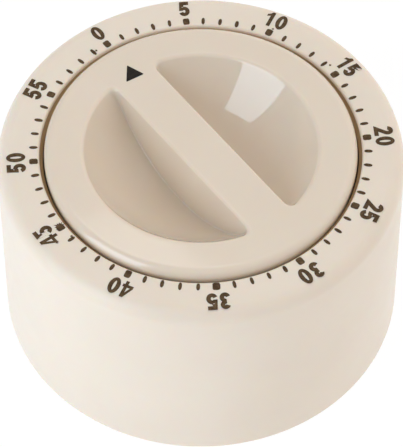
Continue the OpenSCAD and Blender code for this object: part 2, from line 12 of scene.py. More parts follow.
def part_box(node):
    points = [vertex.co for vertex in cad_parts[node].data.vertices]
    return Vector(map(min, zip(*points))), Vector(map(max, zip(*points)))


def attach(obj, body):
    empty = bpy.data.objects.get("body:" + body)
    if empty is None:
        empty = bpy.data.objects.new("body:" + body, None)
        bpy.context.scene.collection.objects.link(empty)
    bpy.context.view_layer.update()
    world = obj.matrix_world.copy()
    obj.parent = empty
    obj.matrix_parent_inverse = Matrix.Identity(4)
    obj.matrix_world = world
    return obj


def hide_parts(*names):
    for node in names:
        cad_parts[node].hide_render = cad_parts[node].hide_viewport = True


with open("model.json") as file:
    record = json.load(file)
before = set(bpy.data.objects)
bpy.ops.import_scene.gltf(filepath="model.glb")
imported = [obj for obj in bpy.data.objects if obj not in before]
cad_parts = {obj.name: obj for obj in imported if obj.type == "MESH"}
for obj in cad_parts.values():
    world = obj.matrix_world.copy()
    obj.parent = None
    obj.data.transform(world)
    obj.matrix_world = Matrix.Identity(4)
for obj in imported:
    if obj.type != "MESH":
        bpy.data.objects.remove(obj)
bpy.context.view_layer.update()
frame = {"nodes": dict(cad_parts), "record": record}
MM = 0.001
rng = random.Random(60)

# ---------------------------------------------------------------- sizes, in millimetres
case_low, case_high = (np.array(corner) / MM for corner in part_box("casing"))
knob_low, knob_high = (np.array(corner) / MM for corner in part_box("knob"))
cover_low, cover_high = (np.array(corner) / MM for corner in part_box("base_cover"))

BASE_R = case_high[0]                   # casing at its bottom edge
DRAFT_DEG = 0.63                        # how far the casing's side leans inwards
CASE_H = case_high[2] - case_low[2]
Z_BASE = case_low[2]
Z_DIAL = case_high[2]
TOP_R = BASE_R - CASE_H * math.tan(math.radians(DRAFT_DEG))
WALL = 1.8
EDGE_R = 2.4                            # rounding of the casing's top edge
DIAL_W = 6.7
WELL_R = TOP_R - DIAL_W
LIP_R = 0.45                            # rounding where the dial face meets the well
STEP_DEPTH = 1.0                        # below the dial, the well narrows to the skirt
SKIRT_GAP = 0.2
COVER_T = cover_high[2] - cover_low[2]
COVER_LIP = 1.0
DECK_T = 1.6
STEM_HOLE_R = 2.4

KNOB_R = knob_high[0]
Z_KNOB = knob_high[2]
Z_SKIRT = knob_low[2]
KNOB_EDGE_R = 1.4
KNOB_WALL = 1.6
RIM_W = 6.1
BAR_HALF = 3.75                         # half the width of the grip bar
RECESS_DEPTH = 10.3
RECESS_R = KNOB_R - RIM_W
BALL_R = (RECESS_R ** 2 + RECESS_DEPTH ** 2) / (2 * RECESS_DEPTH)
BALL_RISE = BALL_R - RECESS_DEPTH       # height of the ball's centre above the knob's top
BAR_DRAFT_DEG = 4.5                     # lean of the bar's sides
CORNER_FILLET = 1.5                     # where the bar's side meets the recess, at the top
CREASE_FILLET = 0.25                    # the same crease, deeper down
CREASE_DEPTH = 3.0
TOP_FILLET = 0.4                        # round the recess's upper edge
POINTER_DEG = 1.8                       # the pointer rests this far past zero
POINTER = ((0.38, 20.2), (-1.72, 17.48), (1.5, 17.12))
POINTER_CORNER_R = 0.22
HUB_R = 3.6
BORE_R = 1.82
BORE_TOP = Z_KNOB - 3.9

RING_R = 26.34                          # middle of the ring of ticks
SEGMENTS = 288
BOSS_SEGMENTS = 48


# ---------------------------------------------------------------- outlines and meshes
def arc(centre_r, centre_z, radius, start, end, steps):
    """Points of a circular arc in the (r, z) plane, from start to end in degrees."""
    angles = np.radians(np.linspace(start, end, steps + 1))
    return [(centre_r + radius * math.cos(a), centre_z + radius * math.sin(a)) for a in angles]


def supported(outline, closed=True, near=0.12):
    """Adds a point close to both ends of each long straight run, so that shading stays crisp."""
    out = []
    count = len(outline)
    for i, here in enumerate(outline):
        out.append(here)
        if i == count - 1 and not closed:
            break
        there = outline[(i + 1) % count]
        length = math.dist(here, there)
        if length > 5 * near:
            for share in (near / length, 1 - near / length):
                out.append(tuple(a + (b - a) * share for a, b in zip(here, there)))
    return out


def rounded(corners, radius, steps=3):
    """A closed (r, z) outline with each corner cut back by the radius and rounded."""
    out = []
    count = len(corners)
    for i, corner in enumerate(corners):
        before = np.array(corners[i - 1], float)
        after = np.array(corners[(i + 1) % count], float)
        here = np.array(corner, float)
        reach = min(radius, 0.45 * np.linalg.norm(before - here), 0.45 * np.linalg.norm(after - here))
        start = here + (before - here) / np.linalg.norm(before - here) * reach
        end = here + (after - here) / np.linalg.norm(after - here) * reach
        for t in np.linspace(0, 1, steps + 1):
            out.append(tuple((1 - t) ** 2 * start + 2 * t * (1 - t) * here + t ** 2 * end))
    return out


def new_object(name, data):
    """An object of a mesh, curve, light or camera, linked to the scene."""
    piece = bpy.data.objects.new(name, data)
    bpy.context.scene.collection.objects.link(piece)
    return piece


def to_object(name, bm, smooth=True):
    """Turns a bmesh drawn in millimetres into an object in metres."""
    bmesh.ops.recalc_face_normals(bm, faces=bm.faces)
    for face in bm.faces:
        face.smooth = smooth
    mesh = bpy.data.meshes.new(name)
    bm.to_mesh(mesh)
    bm.free()
    mesh.transform(Matrix.Scale(MM, 4))
    return new_object(name, mesh)


def add_lathe(bm, outline, centre=(0.0, 0.0), segments=SEGMENTS):
    """Revolves a closed (r, z) outline about a vertical axis. Points on the axis become one point."""
    rings = []
    for r, z in outline:
        if r < 1e-6:
            rings.append([bm.verts.new((centre[0], centre[1], z))])
            continue
        turn = [2 * math.pi * i / segments for i in range(segments)]
        rings.append([
            bm.verts.new((centre[0] + r * math.cos(a), centre[1] + r * math.sin(a), z))
            for a in turn
        ])
    for lower, upper in zip(rings, rings[1:] + rings[:1]):
        join_rings(bm, lower, upper)


def join_rings(bm, first, second):
    """Faces between two closed rings, or between a ring and a point."""
    if len(first) == 1 and len(second) == 1:
        return
    count = max(len(first), len(second))
    for i in range(count):
        k = (i + 1) % count
        if len(first) == 1:
            bm.faces.new((first[0], second[i], second[k]))
        elif len(second) == 1:
            bm.faces.new((first[i], first[k], second[0]))
        else:
            bm.faces.new((first[i], first[k], second[k], second[i]))


def add_box(bm, size, place, turn_deg, edge):
    """A box with rounded edges, standing with its middle at place."""
    made = bmesh.ops.create_cube(bm, size=1.0)["verts"]
    bmesh.ops.scale(bm, vec=size, verts=made)
    edges = list({e for v in made for e in v.link_edges})
    result = bmesh.ops.bevel(bm, geom=edges, offset=edge, segments=2, profile=0.5, affect="EDGES")
    corners = list({v for f in result["faces"] for v in f.verts} | {v for v in made if v.is_valid})
    place_matrix = Matrix.Rotation(math.radians(turn_deg), 4, "Z") @ Matrix.Translation(place)
    bmesh.ops.transform(bm, matrix=place_matrix, verts=corners)


# ---------------------------------------------------------------- casing
BOSS_R = 2.8
BOSS_AT = BASE_R - WALL - BOSS_R + 1.1
BOSS_ANGLES = (60, 180, 300)
BOSS_BORE = 1.22
BOSS_DEPTH = 9.0
HANG_ANGLES = (85, 205, 325)
HANG_AT = 21.0
HANG_R = 2.2
HANG_BORE = 1.02
HANG_DEPTH = 3.1
HANG_SUNK = 0.8                         # how far these bosses reach into the deck
STOP_DEG = 270                          # the finger on the deck that stops the knob
STOP_SIZE = (1.4, 1.2, 4.0)
STOP_CLEAR = 0.3                        # its gap to the knob's wall
FOOT_R = 0.35                           # rounding of the casing's bottom edge
Z_DECK_TOP = Z_SKIRT - 0.5
Z_DECK = Z_DECK_TOP - DECK_T
Z_HANG = Z_DECK - 2.4


def around(radius, degrees):
    angle = math.radians(degrees)
    return (radius * math.cos(angle), radius * math.sin(angle))


def build_casing():
    bm = bmesh.new()
    outline = [(BASE_R - COVER_LIP, Z_BASE + 0.1), (BASE_R - COVER_LIP + 0.1, Z_BASE)]
    outline += arc(BASE_R - FOOT_R, Z_BASE + FOOT_R, FOOT_R, -90, 0, 5)
    outline += arc(TOP_R - EDGE_R, Z_DIAL - EDGE_R, EDGE_R, 0, 90, 20)
    outline += arc(WELL_R + LIP_R, Z_DIAL - LIP_R, LIP_R, 90, 180, 6)
    inner = [
        (WELL_R, Z_DIAL - STEP_DEPTH),
        (KNOB_R + SKIRT_GAP, Z_DIAL - STEP_DEPTH),
        (KNOB_R + SKIRT_GAP, Z_DECK_TOP),
        (STEM_HOLE_R, Z_DECK_TOP),
        (STEM_HOLE_R, Z_DECK),
        (WELL_R + WALL, Z_DECK),
        (WELL_R + WALL, Z_DIAL - WALL),
        (TOP_R - WALL - 1, Z_DIAL - WALL),
        (TOP_R - WALL, Z_DIAL - WALL - 1),
        (BASE_R - WALL, Z_BASE + COVER_T),
        (BASE_R - COVER_LIP, Z_BASE + COVER_T),
    ]
    outline += inner
    add_lathe(bm, supported(outline))
    for a in BOSS_ANGLES:
        cover_boss = boss(BOSS_R, BOSS_BORE, Z_BASE + COVER_T, Z_DECK_TOP, BOSS_DEPTH)
        add_lathe(bm, supported(cover_boss), around(BOSS_AT, a), BOSS_SEGMENTS)
    for a in HANG_ANGLES:
        hanging_boss = boss(HANG_R, HANG_BORE, Z_HANG, Z_DECK + HANG_SUNK, HANG_DEPTH)
        add_lathe(bm, supported(hanging_boss), around(HANG_AT, a), BOSS_SEGMENTS)
    stop_at = KNOB_R - KNOB_WALL - STOP_CLEAR - STOP_SIZE[0] / 2
    add_box(bm, STOP_SIZE, (stop_at, 0, Z_DECK + STOP_SIZE[2] / 2), STOP_DEG, 0.15)
    piece = to_object("casing_shell", bm)
    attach(piece, "case")
    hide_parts("casing")
    return piece


def boss(outer, bore, z_low, z_high, depth):
    """Outline of a screw boss with a blind hole in its lower end."""
    edge = 0.2
    return [
        (0.0, z_low + depth),
        (bore, z_low + depth),
        (bore, z_low + edge),
        (bore + edge, z_low),
        (outer - edge, z_low),
        (outer, z_low + edge),
        (outer, z_high - edge),
        (outer - edge, z_high),
        (0.0, z_high),
    ]


# ---------------------------------------------------------------- knob
HALVINGS = 44                           # steps of each search by halving
RIM_RAYS = 216                          # rays that end at the knob's edge, and at the bar's middle
BAR_RAYS = 120
RAY_SAMPLES = 4001
COLUMN_SAMPLES = 1500
RECESS_STEPS = 64
TURN_WEIGHT = 2.0                       # how much a turn counts against a length when points are spread
BEND_WEIGHT = 3.2
FLAT_SHARES = (0.04, 0.35, 0.7, 0.96, 1.0)
SAMPLE_POWER = 1.6                      # above 1, samples crowd towards the recess's edge
RAY_CENTRE = 0.52                       # where the rays start, as a share of the recess's radius


def round_union(a, b, radius):
    """Distance to the union of two shapes, with the inside corner between them rounded."""
    u = np.maximum(radius - a, 0)
    v = np.maximum(radius - b, 0)
    return np.maximum(radius, np.minimum(a, b)) - np.hypot(u, v)


def round_overlap(a, b, radius):
    """Distance to what two shapes share, with the outside corner between them rounded."""
    return -round_union(-a, -b, radius)


def recess_distance(x, y, z):
    """Distance to the recess beside the bar, for x > 0: a ball, less the bar with its sloping side."""
    ball = np.sqrt(x ** 2 + y ** 2 + (z - BALL_RISE) ** 2) - BALL_R
    lean = math.radians(BAR_DRAFT_DEG)
    side = (BAR_HALF - x) * math.cos(lean) - z * math.sin(lean)
    share = np.clip(-z / CREASE_DEPTH, 0, 1)
    share = share * share * (3 - 2 * share)
    return round_overlap(ball, side, CORNER_FILLET + (CREASE_FILLET - CORNER_FILLET) * share)


def knob_height(x, y):
    """Height of the knob's surface over (x, y), with 0 at its flat top, by halving steps."""
    low = np.full_like(x, -RECESS_DEPTH - 1.0)
    high = np.full_like(x, 0.5)
    for _ in range(HALVINGS):
        middle = (low + high) / 2
        solid = round_overlap(middle, -recess_distance(x, y, middle), TOP_FILLET)
        inside = solid < 0
        low = np.where(inside, middle, low)
        high = np.where(inside, high, middle)
    return (low + high) / 2


def edge_reach(centre_x, angle):
    """How far from the recess's middle the flat top begins, along a ray."""
    low = np.zeros_like(angle)
    high = np.full_like(angle, 2 * KNOB_R)
    for _ in range(HALVINGS):
        middle = (low + high) / 2
        x = centre_x + middle * np.cos(angle)
        y = middle * np.sin(angle)
        inside = recess_distance(x, y, np.zeros_like(x)) < TOP_FILLET
        low = np.where(inside, middle, low)
        high = np.where(inside, high, middle)
    return high


def even_steps(values, count):
    """Indices that split a growing measure into equal parts."""
    return np.interp(np.linspace(values[0], values[-1], count + 1), values, np.arange(len(values)))


def knob_column(centre_x, angle, flat_start, flat_end):
    """Points of the knob's top along one ray from the recess's middle, closer together where it bends."""
    t = np.linspace(0, 1, COLUMN_SAMPLES)
    distance = flat_start * (1 - (1 - t) ** SAMPLE_POWER)
    z = knob_height(centre_x + distance * math.cos(angle), distance * math.sin(angle))
    slope = np.arctan2(np.diff(z), np.diff(distance))
    length = np.hypot(np.diff(z), np.diff(distance))
    bend = np.abs(np.diff(slope, prepend=slope[0]))
    measure = np.concatenate([[0], np.cumsum(length + BEND_WEIGHT * bend)])
    pick = np.interp(even_steps(measure, RECESS_STEPS), np.arange(COLUMN_SAMPLES), distance)
    z = np.interp(pick, distance, z)
    z[-1] = 0.0
    beyond = [flat_start + share * (flat_end - flat_start) for share in FLAT_SHARES]
    pick = np.concatenate([pick, beyond])
    z = np.concatenate([z, np.zeros(len(beyond))])
    return [(centre_x + d * math.cos(angle), d * math.sin(angle), h) for d, h in zip(pick, z)]


def build_knob():
    centre_x = RAY_CENTRE * RECESS_R
    flat_r = KNOB_R - KNOB_EDGE_R
    corner = math.atan2(flat_r, -centre_x)
    # rays from the recess's middle: first to the outer edge, then to the bar's middle
    rays = []
    for start, end, count in ((-corner, corner, RIM_RAYS), (corner, 2 * math.pi - corner, BAR_RAYS)):
        fine = np.linspace(start, end, RAY_SAMPLES)
        reach = edge_reach(centre_x, fine)
        x = centre_x + reach * np.cos(fine)
        y = reach * np.sin(fine)
        steps = np.hypot(np.diff(x), np.diff(y)) + TURN_WEIGHT * np.diff(fine)
        along = np.concatenate([[0], np.cumsum(steps)])
        rays.append(np.interp(even_steps(along, count), np.arange(RAY_SAMPLES), fine)[:-1])
    angles = np.concatenate(rays)
    reach = edge_reach(centre_x, angles)
    to_circle = -centre_x * np.cos(angles) + np.sqrt(flat_r ** 2 - (centre_x * np.sin(angles)) ** 2)
    to_middle = np.full_like(angles, np.inf)
    inward = np.cos(angles) < -1e-9
    to_middle[inward] = -centre_x / np.cos(angles[inward])
    limit = np.minimum(to_circle, to_middle)
    columns = [knob_column(centre_x, *ray) for ray in zip(angles, reach, limit)]

    bm = bmesh.new()
    floor_z = float(knob_height(np.array([centre_x]), np.array([0.0]))[0])
    for mirror in (1, -1):
        pole = bm.verts.new((mirror * centre_x, 0, floor_z + Z_KNOB))
        grid = [[bm.verts.new((mirror * x, y, z + Z_KNOB)) for x, y, z in column[1:]] for column in columns]
        rings = [[column[k] for column in grid] for k in range(len(grid[0]))]
        join_rings(bm, [pole], rings[0])
        for inner, outer in zip(rings, rings[1:]):
            join_rings(bm, inner, outer)
    bmesh.ops.remove_doubles(bm, verts=bm.verts, dist=1e-4)
    rim = [v for v in bm.verts if v.is_boundary]
    rim.sort(key=lambda v: math.atan2(v.co.y, v.co.x))
    add_knob_sides(bm, rim, flat_r)
    bmesh.ops.rotate(bm, verts=bm.verts, matrix=Matrix.Rotation(math.radians(POINTER_DEG), 3, "Z"))
    piece = to_object("knob_body", bm)
    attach(piece, "knob")
    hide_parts("knob")
    return piece


def chamfered_foot(outer_r, inner_r):
    """The lower edge of a round wall, from its outside to its inside."""
    edge = 0.2
    return [
        (outer_r, Z_SKIRT + edge),
        (outer_r - edge, Z_SKIRT),
        (inner_r + edge, Z_SKIRT),
        (inner_r, Z_SKIRT + edge),
    ]


def add_knob_sides(bm, rim, flat_r):
    """The rounded edge, the skirt, and the hollow underside with its hub, from the rim's own points."""
    under_r = BALL_R + KNOB_WALL
    ball_z = Z_KNOB + BALL_RISE
    wall_r = KNOB_R - KNOB_WALL
    ceiling = Z_KNOB - KNOB_WALL
    start = math.degrees(math.asin((ceiling - ball_z) / under_r))
    end = -math.degrees(math.acos(HUB_R / under_r))
    outline = arc(flat_r, Z_KNOB - KNOB_EDGE_R, KNOB_EDGE_R, 90, 0, 9)[1:]
    outline += chamfered_foot(KNOB_R, wall_r)
    outline += [(wall_r, ceiling - 0.3), (wall_r - 0.3, ceiling)]
    outline += arc(0, ball_z, under_r, start, end, 24)
    outline += chamfered_foot(HUB_R, BORE_R)
    outline += [(BORE_R, BORE_TOP), (0.0, BORE_TOP)]
    last = rim
    angles = [math.atan2(v.co.y, v.co.x) for v in rim]
    for r, z in supported(outline, closed=False):
        if r < 1e-6:
            ring = [bm.verts.new((0, 0, z))]
        else:
            ring = [bm.verts.new((r * math.cos(a), r * math.sin(a), z)) for a in angles]
        join_rings(bm, last, ring)
        last = ring


# ---------------------------------------------------------------- printed marks
NUMERAL_R = 27.55                       # radius of the numerals' feet
NUMERAL_H = 3.03
DIGIT_W = 0.59                          # widths are in numeral heights
DIGIT_GAP = 0.07
STROKE = 0.225
TICK_IN = 25.68
TICK_OUT = 27.02
TICK_HALF_W = 0.29                      # half a tick's width, and how square it is
TICK_POWER = 2.3
MAJOR_HALF_W = 0.56                     # the same for each fifth minute's tick
MAJOR_POWER = 4.5
PRINT_T = 0.03
PRINT_LIFT = 0.002                      # keeps a print's middle clear of the plastic
BLOT_LIFT = 0.004                       # and a blot's clear of the print
BLOTS = (                               # flaws in the print: minute, distance from the middle, size
    (45.1, 26.35, 1.1), (44.15, 26.0, 0.3), (14.3, 26.9, 0.3), (15.0, 26.6, 0.62), (59.2, 26.3, 0.3),
    (41.0, 26.7, 0.22), (10.1, 27.3, 0.28), (44.35, 28.45, 0.45),
)


def bow(centre, size, start, end, steps=14):
    """Points on an upright oval, from start to end in degrees."""
    angles = np.radians(np.linspace(start, end, steps + 1))
    return [(centre[0] + size[0] * math.cos(a), centre[1] + size[1] * math.sin(a)) for a in angles]


def stroke(points, width=STROKE):
    """Outline of a pen stroke of even width along the points, with mitred bends and square ends."""
    pts = np.array(points, float)
    steps = np.diff(pts, axis=0)
    steps /= np.linalg.norm(steps, axis=1)[:, None]
    left, right = [], []
    for i, p in enumerate(pts):
        before = steps[max(i - 1, 0)]
        after = steps[min(i, len(steps) - 1)]
        normal = np.array([-before[1] - after[1], before[0] + after[0]])
        normal /= np.linalg.norm(normal)
        spread = max(normal @ np.array([-before[1], before[0]]), 0.45)
        left.append(tuple(p + normal * width / 2 / spread))
        right.append(tuple(p - normal * width / 2 / spread))
    return left + right[::-1]


def digit(n):
    """Outlines of one bold digit, one numeral height tall: the outer one first, then any hole."""
    half = STROKE / 2
    if n == 0:
        middle = (DIGIT_W / 2, 0.5)
        outer = bow(middle, (DIGIT_W / 2, 0.5), 0, 360, 36)[:-1]
        hole = bow(middle, (DIGIT_W / 2 - STROKE, 0.5 - 0.9 * STROKE), 0, 360, 30)[:-1]
        return [outer, hole]
    if n == 1:
        return [[(0.24, 0), (0.44, 0), (0.44, 1), (0.29, 1),
                 (0.2, 0.87), (0.05, 0.78), (0.05, 0.64), (0.24, 0.72)]]
    if n == 2:
        top = bow((0.27, 0.70), (0.27 - half, 0.30 - half), 175, -35)
        return [stroke(top + [(0.12, half), (DIGIT_W, half)])]
    if n == 3:
        upper = bow((0.26, 0.735), (0.25 - half, 0.265 - half), 165, -75)
        lower = bow((0.26, 0.295), (0.27 - half, 0.295 - half), 75, -165)
        return [stroke(upper + lower)]
    if n == 4:
        outer = [(0.31, 0), (0.48, 0), (0.48, 0.21), (0.57, 0.21), (0.57, 0.38), (0.48, 0.38),
                 (0.48, 1), (0.30, 1), (0, 0.37), (0, 0.21), (0.31, 0.21)]
        return [outer, [(0.15, 0.38), (0.31, 0.38), (0.31, 0.70)]]
    bowl = bow((0.25, 0.33), (0.29 - half, 0.33 - half), 128, -160, 20)
    return [stroke([(0.5, 1 - half), (0.13, 1 - half), (0.10, 0.50)] + bowl)]


def flat_print(name, outlines, z, body, ink):
    """A thin printed layer from closed outlines in millimetres. An outline inside another is a hole."""
    curve = bpy.data.curves.new(name + "_outline", "CURVE")
    curve.dimensions = "2D"
    curve.fill_mode = "BOTH"
    curve.extrude = PRINT_T / 2
    for points in outlines:
        spline = curve.splines.new("POLY")
        spline.points.add(len(points) - 1)
        for point, (x, y) in zip(spline.points, points):
            point.co = (x, y, 0, 1)
        spline.use_cyclic_u = True
    holder = new_object(name + "_holder", curve)
    bpy.context.view_layer.update()
    mesh = bpy.data.meshes.new_from_object(holder.evaluated_get(bpy.context.evaluated_depsgraph_get()))
    mesh.name = name
    bpy.data.objects.remove(holder)
    mesh.transform(Matrix.Scale(MM, 4) @ Matrix.Translation((0, 0, z)))
    mesh.materials.clear()
    piece = new_object(name, mesh)
    piece.data.materials.append(ink)
    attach(piece, body)
    return piece


def on_dial(minute, across, outward):
    """Turns (across, outward) at a minute mark into (x, y): across runs clockwise."""
    a = math.radians(90 - 6 * minute)
    return (outward * math.cos(a) + across * math.sin(a), outward * math.sin(a) - across * math.cos(a))


def tick_outline(minute, major):
    """A tick: a soft-cornered block at each fifth minute, and a slim leaf at the others."""
    half_w = (MAJOR_HALF_W if major else TICK_HALF_W) * rng.uniform(0.93, 1.07)
    half_l = (TICK_OUT - TICK_IN) / 2 * rng.uniform(0.95, 1.04)
    power = MAJOR_POWER if major else TICK_POWER
    middle = (TICK_IN + TICK_OUT) / 2 + rng.uniform(-0.04, 0.04)
    lean = math.radians(rng.uniform(-2.5, 2.5))
    points = []
    for a in np.radians(np.arange(0, 360, 15)):
        c, s = math.cos(a), math.sin(a)
        reach = (abs(c) ** power + abs(s) ** power) ** (-1 / power) * rng.uniform(0.97, 1.03)
        x, y = half_w * reach * c, half_l * reach * s
        points.append(on_dial(minute, x * math.cos(lean) - y * math.sin(lean),
                              middle + x * math.sin(lean) + y * math.cos(lean)))
    return points


def numeral_outlines(minute):
    digits = [int(d) for d in str(minute)]
    width = len(digits) * DIGIT_W + (len(digits) - 1) * DIGIT_GAP
    outlines = []
    for place, n in enumerate(digits):
        left = place * (DIGIT_W + DIGIT_GAP) - width / 2
        for outline in digit(n):
            outlines.append([
                on_dial(minute, (left + x) * NUMERAL_H, NUMERAL_R + y * NUMERAL_H)
                for x, y in outline
            ])
    return outlines


def blot(minute, out, size):
    """A ragged blot of ink at a minute mark, this far out from the middle."""
    rays = 11
    turn = rng.uniform(0, 360)
    points = []
    for i in range(rays):
        for angle, reach in ((i, rng.uniform(0.6, 1.0)), (i + 0.5, rng.uniform(0.3, 0.5))):
            a = math.radians(turn + angle * 360 / rays)
            points.append(on_dial(minute, size * reach * math.cos(a), out + size * reach * math.sin(a)))
    return points


def build_prints(ink, pointer_ink):
    z = Z_DIAL + PRINT_LIFT
    ticks = [tick_outline(m, m % 5 == 0) for m in range(60)]
    flat_print("dial_ticks", ticks, z, "case", ink)
    for i, place in enumerate(BLOTS):
        flat_print(f"ink_blot_{i + 1}", [blot(*place)], z + BLOT_LIFT, "case", ink)
    numerals = [outline for m in range(0, 60, 5) for outline in numeral_outlines(m)]
    flat_print("dial_numerals", numerals, z, "case", ink)
    turned = math.radians(POINTER_DEG)
    pointer = [
        (x * math.cos(turned) - y * math.sin(turned), x * math.sin(turned) + y * math.cos(turned))
        for x, y in rounded(POINTER, POINTER_CORNER_R)
    ]
    flat_print("knob_pointer", [pointer], Z_KNOB + PRINT_LIFT, "knob", pointer_ink)


# ---------------------------------------------------------------- materials
def nodes_of(material):
    material.use_nodes = True
    tree = material.node_tree
    return tree, tree.nodes["Principled BSDF"]


def noise(tree, scale, detail=3.0, rough=0.5):
    """A noise texture in the object's own metres."""
    where = tree.nodes.new("ShaderNodeTexCoord")
    texture = tree.nodes.new("ShaderNodeTexNoise")
    texture.inputs["Scale"].default_value = scale
    texture.inputs["Detail"].default_value = detail
    texture.inputs["Roughness"].default_value = rough
    tree.links.new(where.outputs["Object"], texture.inputs["Vector"])
    return texture


def ramp(tree, source, low, high, start=0.3, end=0.7):
    """Maps a noise value to a colour or a grey between low and high."""
    node = tree.nodes.new("ShaderNodeValToRGB")
    node.color_ramp.elements[0].position = start
    node.color_ramp.elements[1].position = end
    node.color_ramp.elements[0].color = (*low, 1)
    node.color_ramp.elements[1].color = (*high, 1)
    tree.links.new(source, node.inputs["Fac"])
    return node.outputs["Color"]


def grey(value):
    return (value, value, value)


def soft_step(tree, value, start, end):
    """0 where the value is at start, 1 at end, smooth between."""
    node = tree.nodes.new("ShaderNodeMapRange")
    node.interpolation_type = "SMOOTHSTEP"
    node.inputs["From Min"].default_value = start
    node.inputs["From Max"].default_value = end
    tree.links.new(value, node.inputs["Value"])
    return node.outputs["Result"]


def maths(tree, operation, first, second):
    """A math node between two values, each a number or another node's output."""
    node = tree.nodes.new("ShaderNodeMath")
    node.operation = operation
    for socket, value in zip(node.inputs, (first, second)):
        if isinstance(value, float):
            socket.default_value = value
        else:
            tree.links.new(value, socket)
    return node.outputs["Value"]


def bump(tree, shader, height, strength, distance):
    node = tree.nodes.new("ShaderNodeBump")
    node.inputs["Strength"].default_value = strength
    node.inputs["Distance"].default_value = distance
    tree.links.new(height, node.inputs["Height"])
    tree.links.new(node.outputs["Normal"], shader.inputs["Normal"])


# painted shade: a darker brown laid into the casing's colour inside the groove round the knob, where the
# gap lies in shade
GROOVE_SHADE_COLOUR = (0.44, 0.285, 0.145, 1)
GROOVE_SHADE_OUT = (WELL_R + 0.05) * MM        # the painted shade is full inside this radius, none outside the next
GROOVE_SHADE_END = (WELL_R + 0.3) * MM
GROOVE_SHADE_FULL_Z = (Z_DIAL - 0.9) * MM      # full below this height, none above the next
GROOVE_SHADE_TOP_Z = (Z_DIAL - 0.5) * MM


def groove_grime(tree, unshaded):
    """Paints shade into the plastic inside the groove round the knob, a darker brown there, and leaves it
    as it is elsewhere.
    """
    where = tree.nodes.new("ShaderNodeTexCoord")
    split = tree.nodes.new("ShaderNodeSeparateXYZ")
    tree.links.new(where.outputs["Object"], split.inputs["Vector"])
    flat = tree.nodes.new("ShaderNodeVectorMath")
    flat.operation = "MULTIPLY"
    flat.inputs[1].default_value = (1, 1, 0)
    tree.links.new(where.outputs["Object"], flat.inputs[0])
    away = tree.nodes.new("ShaderNodeVectorMath")
    away.operation = "LENGTH"
    tree.links.new(flat.outputs["Vector"], away.inputs[0])
    within = soft_step(tree, away.outputs["Value"], GROOVE_SHADE_END, GROOVE_SHADE_OUT)
    sunk = soft_step(tree, split.outputs["Z"], GROOVE_SHADE_TOP_Z, GROOVE_SHADE_FULL_Z)
    above = soft_step(tree, split.outputs["Z"], Z_DECK * MM, Z_DECK_TOP * MM)
    mix = tree.nodes.new("ShaderNodeMixRGB")
    mix.inputs["Color2"].default_value = GROOVE_SHADE_COLOUR
    mask = maths(tree, "MULTIPLY", maths(tree, "MULTIPLY", within, sunk), above)
    tree.links.new(mask, mix.inputs["Fac"])
    tree.links.new(unshaded, mix.inputs["Color1"])
    return mix.outputs["Color"]


def moulded_plastic(name, light, dark, rough, grain, depth, coat=0.0, groove_shaded=False):
    """Cream plastic: faint cloudy colour, uneven polish and a fine moulded grain."""
    material = bpy.data.materials.new(name)
    tree, shader = nodes_of(material)
    cloud = noise(tree, 55, 4)
    colour = ramp(tree, cloud.outputs["Fac"], dark, light)
    # painted shade in the groove round the knob
    if groove_shaded:
        colour = groove_grime(tree, colour)
    tree.links.new(colour, shader.inputs["Base Color"])
    polish = noise(tree, 240, 5, 0.6)
    roughness = ramp(tree, polish.outputs["Fac"], grey(rough[0]), grey(rough[1]))
    tree.links.new(roughness, shader.inputs["Roughness"])
    fine = noise(tree, 5200, 2)
    bump(tree, shader, fine.outputs["Fac"], grain, 0.00004)
    shader.inputs["IOR"].default_value = 1.5
    shader.inputs["Coat Weight"].default_value = coat
    shader.inputs["Coat Roughness"].default_value = 0.03
    shader.inputs["Subsurface Weight"].default_value = 0.5
    shader.inputs["Subsurface Radius"].default_value = (1.0, 0.52, 0.26)
    shader.inputs["Subsurface Scale"].default_value = depth
    return material


def printed_ink(name, dark, light):
    """Matte dark ink, a little thin and uneven."""
    material = bpy.data.materials.new(name)
    tree, shader = nodes_of(material)
    patch = noise(tree, 1400, 3, 0.6)
    tree.links.new(
        ramp(tree, patch.outputs["Fac"], dark, light, 0.35, 0.75),
        shader.inputs["Base Color"],
    )
    shader.inputs["Roughness"].default_value = 0.6
    shader.inputs["Specular IOR Level"].default_value = 0.2
    bump(tree, shader, patch.outputs["Fac"], 0.25, 0.00003)
    return material


def metal(name, light, dark, rough, brush=900, strength=0.15):
    """Bare metal with fine marks, slight tarnish and uneven polish."""
    material = bpy.data.materials.new(name)
    tree, shader = nodes_of(material)
    tarnish = noise(tree, 320, 5, 0.6)
    tree.links.new(ramp(tree, tarnish.outputs["Fac"], dark, light), shader.inputs["Base Color"])
    marks = noise(tree, brush, 6, 0.7)
    roughness = ramp(tree, marks.outputs["Fac"], grey(rough[0]), grey(rough[1]))
    tree.links.new(roughness, shader.inputs["Roughness"])
    bump(tree, shader, marks.outputs["Fac"], strength, 0.00002)
    shader.inputs["Metallic"].default_value = 1.0
    return material


def rubber_material(name):
    material = bpy.data.materials.new(name)
    tree, shader = nodes_of(material)
    dust = noise(tree, 700, 6, 0.7)
    tree.links.new(
        ramp(tree, dust.outputs["Fac"], (0.018, 0.017, 0.016), (0.055, 0.052, 0.048), 0.4, 0.8),
        shader.inputs["Base Color"],
    )
    shader.inputs["Roughness"].default_value = 0.75
    bump(tree, shader, dust.outputs["Fac"], 0.4, 0.00005)
    return material


def dress(materials):
    """Gives each CAD node the material of its slot."""
    slots = {s["node"]: s["material_slot"] for s in frame["record"]["subparts"]}
    for name, node in frame["nodes"].items():
        node.data.materials.clear()
        node.data.materials.append(materials[slots[name]])


# ---------------------------------------------------------------- studio
ELEVATION = math.radians(53.94)
AZIMUTH = math.radians(-35.04)
ROLL = math.radians(-0.15)
DISTANCE = 16.2567 * RING_R * MM
ASIDE = -0.00427 * RING_R * MM          # where the dial's middle lies in the view, right and up
ABOVE = 0.44276 * RING_R * MM
SENSOR = 36.0
LENS = 219.4


